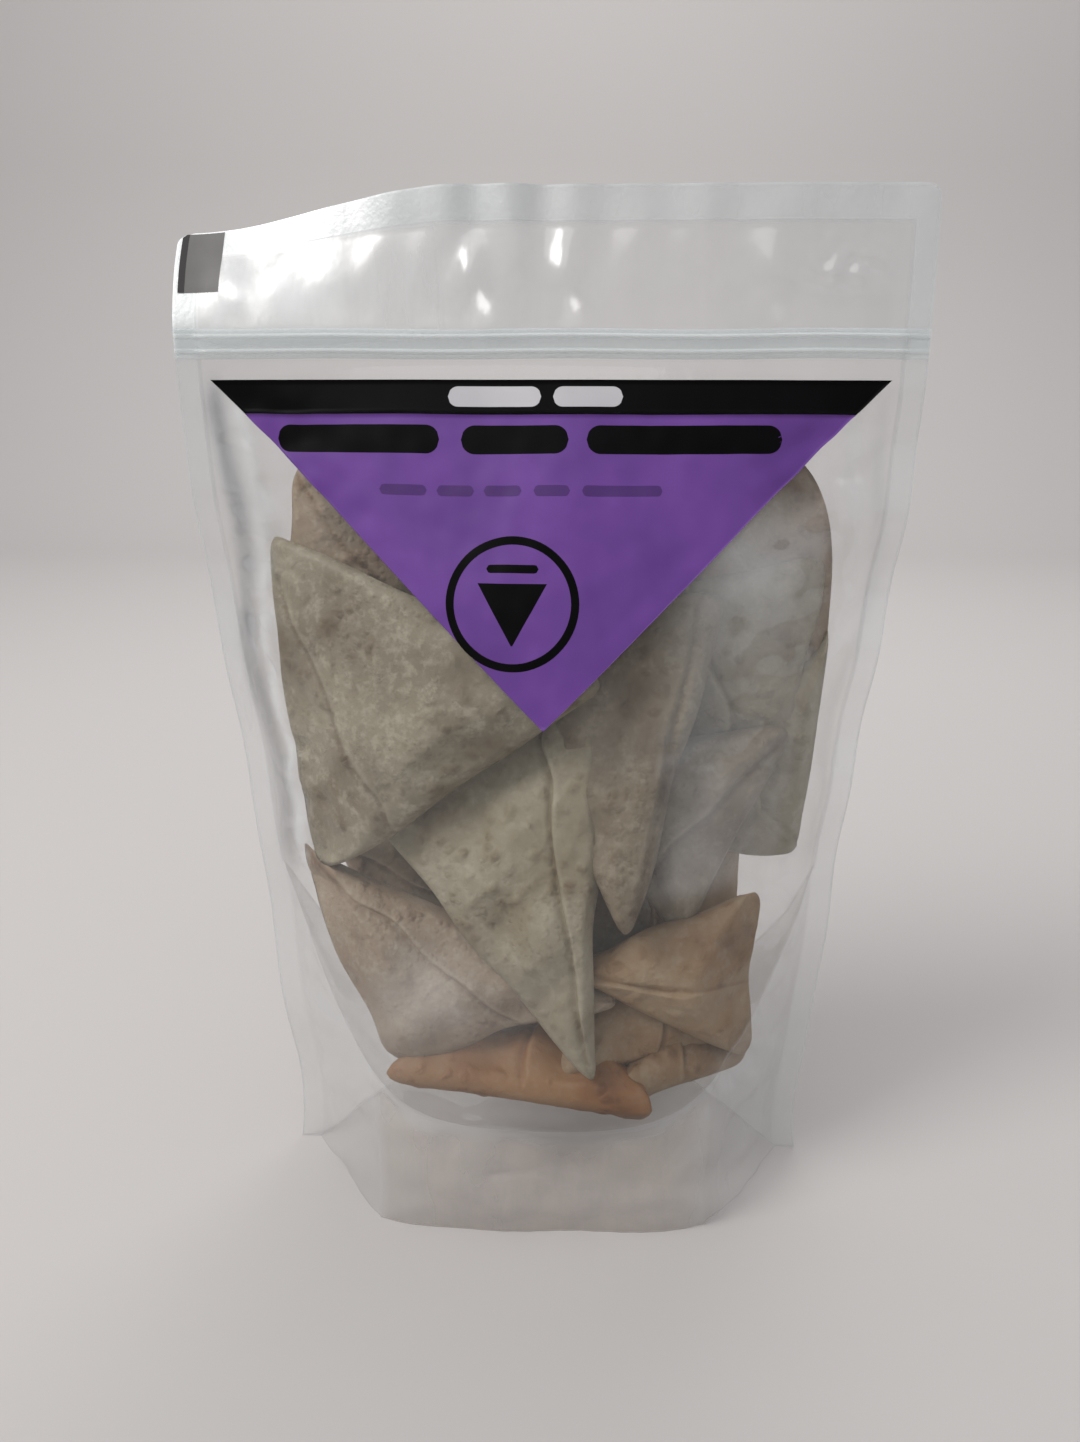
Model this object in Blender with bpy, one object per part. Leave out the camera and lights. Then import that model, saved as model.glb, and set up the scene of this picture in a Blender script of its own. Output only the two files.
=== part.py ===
"""A clear stand-up pouch of triangular samosas, with a press-to-close zip and a triangular label.

The pouch is one closed solid out to its film: two flat panels, sealed down both sides and along the top,
which bulge apart below the zip and stand on a six-cornered foot. Its contents aren't modelled apart from it.
Metres, +Z up. The origin is on the floor under the middle of the pouch, and the front faces -Y.
"""

import functools
import math

import bmesh
import bpy

# Driving dimensions of the pouch.
PANEL_WIDTH = 0.190       # flat width of each film panel, side seals included
TOP_Z = 0.272             # top edge when the pouch stands
SEAL = 0.006              # width of each side seal
WALL = 0.0016             # thickness of the pouch where both panels lie together
BULGE = 0.044             # furthest that a panel stands out from the middle plane
BULGE_Z = 0.050           # height of the fullest section
FOOT_BULGE = 0.0395       # how far the panels stand out at the floor
CORNER_RADIUS = 0.004     # rounding of the two top corners

# The zip runs straight across, just above where the panels part.
ZIP_Z = 0.2350            # middle of the zip
ZIP_HEIGHT = 0.0075
ZIP_WEB = 0.0006          # thickness of the zip's flat web
ZIP_RIB = 0.0007          # how far its two ribs stand out of the web
ZIP_RIB_HEIGHT = 0.0014
PARTING_Z = ZIP_Z - ZIP_HEIGHT / 2 - 0.001

# The header above the zip: its left corner hangs back, and its film waves a little.
DROOP_BACK = 0.012
DROOP_DOWN = 0.010
DROOP_FROM_X = 0.020      # the top edge slopes down from here to the left corner
HEADER_WAVE = 0.0008
HEADER_WAVES = 5

# The foot: an upright crease towards each side of a panel gives it six corners instead of a lens's two.
# Its lower edge makes a flat rim, inside which the gusset is arched clear of the floor.
CREASE_ACROSS = 0.64      # where the crease is, from the middle of the panel (0) to its side seal (1)
CREASE_SHARPNESS = 6.0
CREASE_TOP_Z = 0.075      # the crease has faded out at this height
RIM_WIDTH = 0.005
ARCH_HEIGHT = 0.008
ARCH_TOP_HALF_DEPTH = 0.0095   # half the depth, front to back, of the flat top of the arch
ARCH_IN_X = 1.8           # the rim and the arch come in this many times faster from the sides than from the front

# The label: a right-angled triangle stuck on the front, point down.
LABEL_HALF_WIDTH = 0.0865
LABEL_TOP_Z = 0.2262
LABEL_HEIGHT = 0.0835     # as it stands, measured straight down
LABEL_THICKNESS = 0.0004
LABEL_TIP = 0.0010        # each sharp tip is cut this blunt
LABEL_GAP = 0.00045       # kept between the label and the curved panel behind it
ZIP_GAP = 0.0003          # kept between a zip track and the flat panel behind it

# How finely the film's length is measured, and its width found by halving.
FILM_STEPS = 48
HALVINGS = 40

# How finely the surfaces are divided.
SECTION_STEPS = 28        # across the bulging part of a panel
BODY_LEVELS = 22
HEADER_LEVELS = 8
CORNER_LEVELS = 3
ARCH_RINGS = 4
LABEL_ROWS = 14


def clear_scene():
    for obj in list(bpy.data.objects):
        bpy.data.objects.remove(obj, do_unlink=True)


def smoothstep(t):
    t = min(max(t, 0.0), 1.0)
    return t * t * (3.0 - 2.0 * t)


def bulge(z):
    """How far a panel stands out from the middle plane at this height, halfway across."""
    if z >= PARTING_Z:
        return 0.0
    if z >= BULGE_Z:
        return BULGE * (1.0 - ((z - BULGE_Z) / (PARTING_Z - BULGE_Z)) ** 2)
    return BULGE - (BULGE - FOOT_BULGE) * ((BULGE_Z - z) / BULGE_Z) ** 2


def panel_shape(across, z):
    """How far a panel stands out at this place across, from 1 in the middle to 0 at the side seal."""
    lens = 1.0 - across ** 2
    slope = (1.0 - across) / (1.0 - CREASE_ACROSS)
    creased = slope / (1.0 + slope ** CREASE_SHARPNESS) ** (1.0 / CREASE_SHARPNESS)
    share = 1.0 - smoothstep(z / CREASE_TOP_Z)
    return lens + (creased - lens) * share


@functools.cache
def inner_half_width(z):
    """Half the distance between the side seals: a film that bulges draws its edges in, because it doesn't stretch."""
    film = PANEL_WIDTH / 2.0 - SEAL
    depths = [bulge(z) * panel_shape(i / FILM_STEPS, z) for i in range(FILM_STEPS + 1)]
    narrow, wide = 0.0, film
    for _ in range(HALVINGS):
        middle = (narrow + wide) / 2.0
        step = middle / FILM_STEPS
        length = sum(math.hypot(step, b - a) for a, b in zip(depths, depths[1:]))
        if length > film:
            wide = middle
        else:
            narrow = middle
    return narrow


def corner_cut(z):
    """How much narrower the pouch is at this height because its top corners are round."""
    above = z - (TOP_Z - CORNER_RADIUS)
    if above <= 0.0:
        return 0.0
    return CORNER_RADIUS - math.sqrt(max(CORNER_RADIUS ** 2 - above * above, 0.0))


def half_width(z):
    return inner_half_width(z) + SEAL - corner_cut(z)


def half_depth(x, z):
    """Half the pouch's thickness at this place across and this height."""
    across = min(abs(x) / inner_half_width(z), 1.0)
    return WALL / 2.0 + bulge(z) * panel_shape(across, z)


def header_shift(x, z):
    """(back, down) shift of the header at this place: the waves of its film and the hanging left corner."""
    up = (z - ZIP_Z - ZIP_HEIGHT) / (TOP_Z - ZIP_Z - ZIP_HEIGHT)
    if up <= 0.0:
        return 0.0, 0.0
    side = smoothstep((-x - DROOP_FROM_X) / (PANEL_WIDTH / 2.0 - DROOP_FROM_X))
    wave = HEADER_WAVE * math.sin(2.0 * math.pi * HEADER_WAVES * x / PANEL_WIDTH) * smoothstep(up)
    return DROOP_BACK * side * up ** 1.5 + wave, DROOP_DOWN * side * up


def placed(x, y, z):
    """A point of the pouch with the header's shift applied."""
    back, down = header_shift(x, z)
    return x, y + back, z - down


def stations(z):
    """Places across the pouch at this height, from its left edge to its right: both seals, and the panel between."""
    inner = inner_half_width(z)
    outer = half_width(z)
    between = [inner * (2.0 * i / SECTION_STEPS - 1.0) for i in range(SECTION_STEPS + 1)]
    return [-outer] + between + [outer]


def section(z):
    """The closed outline of the pouch at this height: along the front from left to right, and back behind."""
    front = [placed(x, -half_depth(x, z), z) for x in stations(z)]
    back = [placed(x, half_depth(x, z), z) for x in reversed(stations(z))]
    return front + back


def rim_and_arch():
    """Outlines inside the foot: the inner edge of the flat rim, then the gusset's arch, rising as they shrink."""
    outlines = []
    foot = section(0.0)
    for ring in range(ARCH_RINGS + 1):
        share = ring / ARCH_RINGS
        inset = RIM_WIDTH + (half_depth(0.0, 0.0) - ARCH_TOP_HALF_DEPTH - RIM_WIDTH) * share
        height = ARCH_HEIGHT * math.sin(share * math.pi / 2.0)
        in_x = 1.0 - ARCH_IN_X * inset / half_width(0.0)
        in_y = 1.0 - inset / half_depth(0.0, 0.0)
        outlines.append([(x * in_x, y * in_y, height) for x, y, _ in foot])
    return outlines


def body_heights():
    """Heights of the pouch's sections from the floor up, closer together at the round top corners."""
    body = [PARTING_Z * i / BODY_LEVELS for i in range(BODY_LEVELS + 1)]
    straight = TOP_Z - CORNER_RADIUS
    header = [PARTING_Z + (straight - PARTING_Z) * i / HEADER_LEVELS for i in range(1, HEADER_LEVELS + 1)]
    corner = [straight + CORNER_RADIUS * math.sin(math.pi / 2.0 * i / CORNER_LEVELS)
              for i in range(1, CORNER_LEVELS + 1)]
    return body + header + corner


def new_object(name, mesh_maker, material):
    """Runs mesh_maker on an empty bmesh and links the result as an object of that name."""
    shape = bmesh.new()
    mesh_maker(shape)
    bmesh.ops.recalc_face_normals(shape, faces=shape.faces)
    mesh = bpy.data.meshes.new(name)
    shape.to_mesh(mesh)
    shape.free()
    mesh.shade_smooth()
    mesh.set_sharp_from_angle(angle=math.radians(40.0))
    mesh.materials.append(material)
    obj = bpy.data.objects.new(name, mesh)
    bpy.context.scene.collection.objects.link(obj)
    return obj


def loft(shape, outlines):
    """Skins outlines that all have the same number of points, and closes both ends."""
    rings = [[shape.verts.new(point) for point in outline] for outline in outlines]
    count = len(rings[0])
    for lower, upper in zip(rings, rings[1:]):
        for i in range(count):
            j = (i + 1) % count
            shape.faces.new((lower[i], lower[j], upper[j], upper[i]))
    for end in (rings[0], rings[-1]):
        half = count // 2
        for i in range(half - 1):
            k = count - 1 - i
            shape.faces.new((end[i], end[i + 1], end[k - 1], end[k]))


def make_pouch_mesh(shape):
    """From the top of the gusset's arch, down to the rim, and up the panels to the top edge."""
    inside = list(reversed(rim_and_arch()))
    loft(shape, inside + [section(z) for z in body_heights()])


def make_zip_mesh(side):
    """One zip track, on the front (side -1) or the back (side 1): a flat web with two ribs, drawn across the pouch."""
    near = WALL / 2.0 + ZIP_GAP
    web = near + ZIP_WEB
    rib = web + ZIP_RIB
    low = ZIP_Z - ZIP_HEIGHT / 2.0
    high = ZIP_Z + ZIP_HEIGHT / 2.0
    profile = [(near, low), (web, low)]
    for middle in (ZIP_Z - ZIP_HEIGHT / 4.0, ZIP_Z + ZIP_HEIGHT / 4.0):
        start = middle - ZIP_RIB_HEIGHT / 2.0
        end = middle + ZIP_RIB_HEIGHT / 2.0
        taper = ZIP_RIB_HEIGHT / 4.0
        profile += [(web, start), (rib, start + taper), (rib, end - taper), (web, end)]
    profile += [(web, high), (near, high)]

    def maker(shape):
        left = [shape.verts.new((-PANEL_WIDTH / 2.0, side * y, z)) for y, z in profile]
        end_face = shape.faces.new(left)
        drawn = bmesh.ops.extrude_face_region(shape, geom=[end_face])
        moved = [item for item in drawn["geom"] if isinstance(item, bmesh.types.BMVert)]
        bmesh.ops.translate(shape, verts=moved, vec=(PANEL_WIDTH, 0.0, 0.0))

    return maker


def make_label_mesh(shape):
    """The label as two layers that follow the front panel, joined round their edge."""
    rows = []
    for row in range(LABEL_ROWS + 1):
        down = row / LABEL_ROWS
        reach = LABEL_HALF_WIDTH + (LABEL_TIP - LABEL_HALF_WIDTH) * down
        z = LABEL_TOP_Z - LABEL_HEIGHT * down
        columns = 2 * LABEL_ROWS
        rows.append([(reach * (2.0 * i / columns - 1.0), z) for i in range(columns + 1)])

    def layer(out):
        return [[shape.verts.new((x, -half_depth(x, z) - out, z)) for x, z in row] for row in rows]

    # The panel leans back, so the gap is measured square to it and not along Y.
    lean = math.cos(math.atan(2.0 * BULGE / (PARTING_Z - BULGE_Z)))
    inner = layer(LABEL_GAP / lean)
    outer = layer((LABEL_GAP + LABEL_THICKNESS) / lean)
    last_row = len(rows) - 1
    last_column = len(rows[0]) - 1
    for i in range(last_row):
        for j in range(last_column):
            for sheet in (inner, outer):
                shape.faces.new((sheet[i][j], sheet[i][j + 1], sheet[i + 1][j + 1], sheet[i + 1][j]))
        for j in (0, last_column):
            shape.faces.new((inner[i][j], inner[i + 1][j], outer[i + 1][j], outer[i][j]))
    for i in (0, last_row):
        for j in range(last_column):
            shape.faces.new((inner[i][j], inner[i][j + 1], outer[i][j + 1], outer[i][j]))


def new_material(name, colour, roughness):
    material = bpy.data.materials.new(name)
    material.use_nodes = True
    shader = material.node_tree.nodes["Principled BSDF"]
    shader.inputs["Base Color"].default_value = (*colour, 1.0)
    shader.inputs["Roughness"].default_value = roughness
    material.diffuse_color = (*colour, 1.0)
    return material


def main():
    clear_scene()
    film = new_material("clear_film", (0.55, 0.50, 0.40), 0.18)
    track = new_material("zip_plastic", (0.78, 0.79, 0.79), 0.30)
    paper = new_material("label_paper", (0.27, 0.10, 0.45), 0.38)
    new_object("pouch", make_pouch_mesh, film)
    new_object("zip_front", make_zip_mesh(-1.0), track)
    new_object("zip_back", make_zip_mesh(1.0), track)
    new_object("label", make_label_mesh, paper)


main()
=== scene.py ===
"""The looks of a clear stand-up pouch of samosas: its film and seals, zip, label and contents.

Metres, +Z up. The pouch's front faces -Y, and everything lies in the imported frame.
"""

import functools
import math

import bpy
import numpy as np
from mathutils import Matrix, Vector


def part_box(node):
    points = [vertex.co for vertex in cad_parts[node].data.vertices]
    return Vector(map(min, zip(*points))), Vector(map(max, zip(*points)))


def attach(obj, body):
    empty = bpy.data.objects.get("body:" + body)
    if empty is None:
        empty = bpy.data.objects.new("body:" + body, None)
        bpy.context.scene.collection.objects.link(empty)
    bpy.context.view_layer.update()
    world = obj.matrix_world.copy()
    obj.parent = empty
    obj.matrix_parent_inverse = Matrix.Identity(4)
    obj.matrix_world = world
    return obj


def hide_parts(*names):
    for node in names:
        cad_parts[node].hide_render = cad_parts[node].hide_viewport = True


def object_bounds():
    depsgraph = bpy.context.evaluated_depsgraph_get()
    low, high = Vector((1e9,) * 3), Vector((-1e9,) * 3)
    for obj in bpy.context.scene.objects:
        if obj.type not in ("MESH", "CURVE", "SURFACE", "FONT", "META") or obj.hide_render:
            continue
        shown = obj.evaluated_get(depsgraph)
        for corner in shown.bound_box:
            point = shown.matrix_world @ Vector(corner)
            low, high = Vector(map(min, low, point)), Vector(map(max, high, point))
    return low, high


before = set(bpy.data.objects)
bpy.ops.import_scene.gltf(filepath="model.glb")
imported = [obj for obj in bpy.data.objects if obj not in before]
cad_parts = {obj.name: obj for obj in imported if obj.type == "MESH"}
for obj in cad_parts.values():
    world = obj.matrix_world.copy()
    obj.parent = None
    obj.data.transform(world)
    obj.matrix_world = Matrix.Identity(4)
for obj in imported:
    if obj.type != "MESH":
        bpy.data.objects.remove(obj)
CAD_LOW, CAD_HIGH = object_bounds()
LABEL_LOW, LABEL_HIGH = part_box("label")
ZIP_LOW, ZIP_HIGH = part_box("zip_front")

MM = 0.001

# The pouch, as the CAD has it.
HALF_WIDTH = CAD_HIGH.x
TOP_Z = CAD_HIGH.z
SEAL = 6 * MM                       # width of a side seal
FILM_HALF = HALF_WIDTH - SEAL       # from the middle of a film to its side seals, along the film
ZIP_Z = (ZIP_LOW.z + ZIP_HIGH.z) / 2
ZIP_HEIGHT = ZIP_HIGH.z - ZIP_LOW.z
PARTING_Z = ZIP_LOW.z - 1 * MM      # the panels part here
BULGE = 44 * MM                     # how far a panel stands out where it is fullest, and at what height
BULGE_Z = 50 * MM
FOOT_BULGE = 39.5 * MM              # and how far at the floor
CREASE_ACROSS = 0.64                # the foot's upright folds, as a share of the way to the seals
CREASE_SHARPNESS = 6.0
CREASE_TOP_Z = 75 * MM
DROOP_BACK = 12 * MM                # how far the header's left corner hangs
DROOP_DOWN = 10 * MM
DROOP_FROM_X = 20 * MM
CORNER_RADIUS = 4 * MM

# What the film adds to it.
TOP_SEAL = 8.5 * MM                 # height of the seal along the top
FILM_APART = 0.15 * MM              # from the middle plane to either film where they lie together
GUSSET_MIDDLE_Z = 35 * MM           # lowest point of the arc along which the gusset is sealed to a panel
GUSSET_FOLD_Z = 93 * MM             # where that arc meets the side seals
GUSSET_POWER = 4.4
GUSSET_SAG = 7 * MM                 # how far the gusset hangs down between the two panels
CLEARANCE = 0.1 * MM                # the films stay this far inside the pouch's box, front, back and below

# The zip tracks: a flat web, and two ribs at a share of the half height from its middle.
TRACK_OFF = 0.25 * MM               # from the film to the back of a track
WEB = 0.30 * MM
RIB = 1.05 * MM
RIB_AT = 0.5
RIB_WIDTH = 0.17

# The label and what is printed on it.
LABEL_WIDE = (LABEL_HIGH.x - LABEL_LOW.x) / 2.0     # half the width of the CAD's label
LABEL_HALF = LABEL_WIDE - 0.3 * MM  # and of this one, whose point is as far down as its corners are across
LABEL_OFF = 0.35 * MM               # from the film to the label's white back
LABEL_CURL = 0.5 * MM               # how far its right edge lifts
LABEL_THICK = 0.12 * MM
PRINT_OFF = 0.16 * MM               # from the label's back to the print
BAND = 8.6 * MM                     # height of its top band

# The samosas.
FINE_STEPS = 130                    # divisions along each edge of a samosa that lies at the front
PLAIN_STEPS = 90                    # and of the others
AT_FRONT = ("upper_left", "middle", "right_wedge", "right_corner", "right_upper", "lower_right",
            "lower_left", "bottom")
EDGE_HALF = 3.0 * MM                # half the thickness of a samosa's round edge
CORNER_REACH = 8 * MM               # how far from a corner its rounding reaches
FILM_GAP = 0.9 * MM                 # between a samosa and the film that presses on it
LEAST_ROOM = 2.6 * MM               # half the thickness that is left where the film pinches a samosa
PINCHED = 5 * MM                    # samosas keep to where the pouch is at least this deep on each side

FLOOR_SIZE = 6.0


# -------------------- small tools

def smoothstep(t):
    t = np.clip(t, 0.0, 1.0)
    return t * t * (3.0 - 2.0 * t)


def ripple(points, length, seed, count=16):
    """A smooth random field over points of any dimension, whose humps are about length apart."""
    rng = np.random.default_rng(seed)
    total = np.zeros(points.shape[:-1])
    for _ in range(count):
        direction = rng.normal(size=points.shape[-1])
        direction *= rng.uniform(0.75, 1.35) / np.linalg.norm(direction)
        total += np.sin(points @ direction * (2.0 * math.pi / length) + rng.uniform(0.0, 2.0 * math.pi))
    return total * math.sqrt(2.0 / count)


def unit(vectors):
    return vectors / np.maximum(np.linalg.norm(vectors, axis=-1, keepdims=True), 1e-12)


def mesh_object(name, points, faces, material, **fields):
    """A smooth mesh with a named number at each of its points for every field."""
    mesh = bpy.data.meshes.new(name)
    mesh.from_pydata(points.tolist(), [], faces.tolist())
    for field, values in fields.items():
        attribute = mesh.attributes.new(field, "FLOAT", "POINT")
        attribute.data.foreach_set("value", values.astype(np.float32).ravel())
    mesh.shade_smooth()
    mesh.materials.append(material)
    obj = bpy.data.objects.new(name, mesh)
    bpy.context.scene.collection.objects.link(obj)
    return obj


def grid_faces(rows, columns):
    index = np.arange(rows * columns).reshape(rows, columns)
    corners = (index[:-1, :-1], index[:-1, 1:], index[1:, 1:], index[1:, :-1])
    return np.stack(corners, axis=-1).reshape(-1, 4)


def sheet(name, points, material, flip=False, **fields):
    """A sheet through a rows by columns array of points."""
    rows, columns = points.shape[:2]
    faces = grid_faces(rows, columns)
    if flip:
        faces = faces[:, ::-1]
    return mesh_object(name, points.reshape(-1, 3), faces, material, **fields)


def sheet_normals(points):
    down = np.gradient(points, axis=0)
    across = np.gradient(points, axis=1)
    return unit(np.cross(across, down))


class Shader:
    """A node material with one Principled shader, and short ways to build what feeds it."""

    # A Mix node has sockets of the same name for each kind of data; these are the ones for colours.
    MIX_A = 6
    MIX_B = 7
    MIX_RESULT = 2

    def __init__(self, name, **values):
        self.material = bpy.data.materials.new(name)
        self.material.use_nodes = True
        self.tree = self.material.node_tree
        self.principled = self.tree.nodes["Principled BSDF"]
        self.place = self.add("ShaderNodeTexCoord").outputs["Object"]
        for socket, value in values.items():
            self.principled.inputs[socket.replace("_", " ")].default_value = value

    def add(self, kind, **settings):
        node = self.tree.nodes.new(kind)
        for setting, value in settings.items():
            setattr(node, setting, value)
        return node

    def put(self, socket, value):
        """Feeds an input from another node's output, or sets it to a number or a colour."""
        if isinstance(value, bpy.types.NodeSocket):
            self.tree.links.new(value, socket)
        else:
            socket.default_value = value

    def feed(self, socket, value):
        self.put(self.principled.inputs[socket], value)

    def math(self, operation, a, b=0.0, clamp=False):
        node = self.add("ShaderNodeMath", operation=operation, use_clamp=clamp)
        self.put(node.inputs[0], a)
        self.put(node.inputs[1], b)
        return node.outputs[0]

    def total(self, *terms, clamp=False):
        """The sum of (weight, socket) terms and plain numbers."""
        result = sum(term for term in terms if not isinstance(term, tuple))
        weighted = [term for term in terms if isinstance(term, tuple)]
        for weight, socket in weighted:
            node = self.add("ShaderNodeMath", operation="MULTIPLY_ADD")
            self.put(node.inputs[0], socket)
            self.put(node.inputs[1], weight)
            self.put(node.inputs[2], result)
            result = node.outputs[0]
        node.use_clamp = clamp
        return result

    def between(self, value, low, high):
        """0 where value is low, 1 where it is high, and smooth from one to the other."""
        node = self.add("ShaderNodeMapRange", interpolation_type="SMOOTHSTEP")
        self.put(node.inputs["Value"], value)
        node.inputs["From Min"].default_value = low
        node.inputs["From Max"].default_value = high
        return node.outputs["Result"]

    def field(self, name):
        return self.add("ShaderNodeAttribute", attribute_name=name).outputs["Fac"]

    def noise(self, size, detail=2.0, roughness=0.5, stretch=(1.0, 1.0, 1.0), shift=0.0, distortion=0.0):
        """Noise whose humps are about size metres apart, longer along an axis whose stretch is over 1."""
        mapping = self.add("ShaderNodeMapping")
        self.put(mapping.inputs["Vector"], self.place)
        mapping.inputs["Scale"].default_value = [1.0 / (size * s) for s in stretch]
        mapping.inputs["Location"].default_value = (shift, 1.7 * shift, 2.3 * shift)
        node = self.add("ShaderNodeTexNoise")
        self.put(node.inputs["Vector"], mapping.outputs["Vector"])
        node.inputs["Scale"].default_value = 1.0
        node.inputs["Detail"].default_value = detail
        node.inputs["Roughness"].default_value = roughness
        node.inputs["Distortion"].default_value = distortion
        return node.outputs["Fac"]

    def cells(self, size, shift=0.0):
        """How far each place is from the nearest of many scattered points, as a share of size metres."""
        wander = self.add("ShaderNodeTexNoise")
        self.put(wander.inputs["Vector"], self.place)
        wander.inputs["Scale"].default_value = 0.6 / size
        mapping = self.add("ShaderNodeMapping")
        self.put(mapping.inputs["Vector"], self.place)
        mapping.inputs["Scale"].default_value = [1.0 / size] * 3
        mapping.inputs["Location"].default_value = (shift, 2.1 * shift, 0.7 * shift)
        moved = self.add("ShaderNodeVectorMath", operation="MULTIPLY_ADD")
        self.put(moved.inputs[0], wander.outputs["Color"])
        moved.inputs[1].default_value = (0.9, 0.9, 0.9)
        self.put(moved.inputs[2], mapping.outputs["Vector"])
        node = self.add("ShaderNodeTexVoronoi")
        self.put(node.inputs["Vector"], moved.outputs["Vector"])
        node.inputs["Scale"].default_value = 1.0
        return node.outputs["Distance"]

    def blend(self, factor, a, b):
        node = self.add("ShaderNodeMix", data_type="RGBA")
        self.put(node.inputs["Factor"], factor)
        self.put(node.inputs[self.MIX_A], a)
        self.put(node.inputs[self.MIX_B], b)
        return node.outputs[self.MIX_RESULT]

    def ramp(self, value, *stops):
        """A colour ramp through (position, colour) stops."""
        node = self.add("ShaderNodeValToRGB")
        self.put(node.inputs["Fac"], value)
        elements = node.color_ramp.elements
        while len(elements) < len(stops):
            elements.new(0.5)
        for element, (position, colour) in zip(elements, stops):
            element.position = position
            element.color = colour
        return node.outputs["Color"]

    def relief(self, height, depth, strength=1.0):
        """Bumps the surface by height, whose full range is depth metres."""
        node = self.add("ShaderNodeBump")
        node.inputs["Strength"].default_value = strength
        node.inputs["Distance"].default_value = depth
        self.put(node.inputs["Height"], height)
        self.feed("Normal", node.outputs["Normal"])


def colour(red, green, blue):
    """An opaque linear colour from 0-255 display values."""
    return (*((value / 255.0) ** 2.2 for value in (red, green, blue)), 1.0)


# -------------------- shape of the film

def bulge(z):
    """How far the middle of each panel stands out at this height."""
    above = BULGE * (1.0 - ((z - BULGE_Z) / (PARTING_Z - BULGE_Z)) ** 2)
    below = BULGE - (BULGE - FOOT_BULGE) * ((BULGE_Z - z) / BULGE_Z) ** 2
    return np.where(z >= PARTING_Z, 0.0, np.where(z >= BULGE_Z, above, below))


def panel_shape(across, z):
    """How far a panel stands out at this place across, from 1 in the middle to 0 at the side seal."""
    lens = 1.0 - across ** 2
    slope = (1.0 - across) / (1.0 - CREASE_ACROSS)
    creased = slope / (1.0 + slope ** CREASE_SHARPNESS) ** (1.0 / CREASE_SHARPNESS)
    return lens + (creased - lens) * (1.0 - smoothstep(z / CREASE_TOP_Z))


def inner_half_widths(heights):
    """Half the distance between the side seals at these heights: a film that bulges draws its edges in."""
    parts = 48
    across = np.linspace(0.0, 1.0, parts + 1)
    depths = bulge(heights)[:, None] * panel_shape(across[None, :], heights[:, None])
    falls = np.diff(depths, axis=1)
    narrow = np.zeros(len(heights))
    wide = np.full(len(heights), FILM_HALF)
    for _ in range(30):
        middle = (narrow + wide) / 2.0
        too_long = np.hypot(middle[:, None] / parts, falls).sum(axis=1) > FILM_HALF
        wide = np.where(too_long, middle, wide)
        narrow = np.where(too_long, narrow, middle)
    return narrow


HEIGHT_TABLE = np.linspace(0.0, TOP_Z, 200)
INNER_TABLE = inner_half_widths(HEIGHT_TABLE)


def inner_half_width(z):
    return np.interp(z, HEIGHT_TABLE, INNER_TABLE)


def gusset_arc(across):
    """Height at which the gusset is sealed to a panel, at this place across."""
    return GUSSET_MIDDLE_Z + (GUSSET_FOLD_Z - GUSSET_MIDDLE_Z) * np.abs(across) ** GUSSET_POWER


def groove(s, z, start, end, depth, width):
    """A crease pressed into the film from start to end, all in millimetres, fading towards its end."""
    start = np.array(start) * MM
    end = np.array(end) * MM
    line = end - start
    along = np.clip(((s - start[0]) * line[0] + (z - start[1]) * line[1]) / (line @ line), 0.0, 1.0)
    off = np.hypot(s - start[0] - along * line[0], z - start[1] - along * line[1])
    return -depth * MM * (1.0 - along) ** 0.7 * np.exp(-off / (width * MM))


def wrinkles(s, z, side):
    """How far the film stands off its smooth shape, outwards, s metres across and z metres up."""
    place = np.stack([s, z], axis=-1)
    seed = 11 if side < 0 else 23

    # Broad waves, and finer ones towards the side seals.
    edge = smoothstep((np.abs(s) - 45 * MM) / (40 * MM))
    off = 0.35 * MM * ripple(place, 46 * MM, seed)
    off += 0.55 * MM * edge * ripple(place * np.array([0.6, 1.3]), 19 * MM, seed + 1)
    off += 0.16 * MM * (0.3 + edge) * ripple(place, 9 * MM, seed + 2)

    # Pleats beside the seals, where the film is pulled in.
    from_seal = FILM_HALF - np.abs(s)
    drift = 2.2 * MM * ripple(np.stack([np.sign(s) * 40 * MM, z], axis=-1), 95 * MM, seed + 3)
    pulled = np.cos(2.0 * math.pi * (from_seal + drift) / (8.5 * MM))
    off += 0.50 * MM * pulled * np.exp(-from_seal / (12 * MM)) * smoothstep((z - 60 * MM) / (40 * MM))

    # The upright folds of the foot, and the waves of the skirt under the gusset's arc.
    fold = np.abs(s) - CREASE_ACROSS * FILM_HALF
    off += 0.9 * MM * np.exp(-np.abs(fold) / (1.6 * MM)) * smoothstep((62 * MM - z) / (30 * MM))
    across = np.clip(s / FILM_HALF, -1.0, 1.0)
    skirt = smoothstep((gusset_arc(across) - z) / (5 * MM)) * smoothstep(z / (8 * MM))
    off += 0.45 * MM * skirt * ripple(place * np.array([0.5, 1.0]), 13 * MM, seed + 5)

    # Creases: one in the skirt, and on each side three from the gusset's fold and two higher up.
    off += groove(s, z, (-18, 19), (4, 23), 1.2, 1.3)
    for hand in (-1, 1):
        at_seal = hand * FILM_HALF / MM
        gusset_fold = (at_seal, GUSSET_FOLD_Z / MM)
        off += groove(s, z, gusset_fold, (hand * 48, 118), 1.5, 3.0)
        off += groove(s, z, gusset_fold, (hand * 56, 92), 1.9, 2.4)
        off += groove(s, z, gusset_fold, (hand * 62, 142), 0.9, 3.2)
        off += groove(s, z, (at_seal, 160), (hand * 60, 172), 0.7, 2.6)
        off += groove(s, z, (at_seal, 196), (hand * 66, 190), 0.6, 2.6)
    return off * smoothstep((PARTING_Z - z) / (25 * MM))


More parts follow.
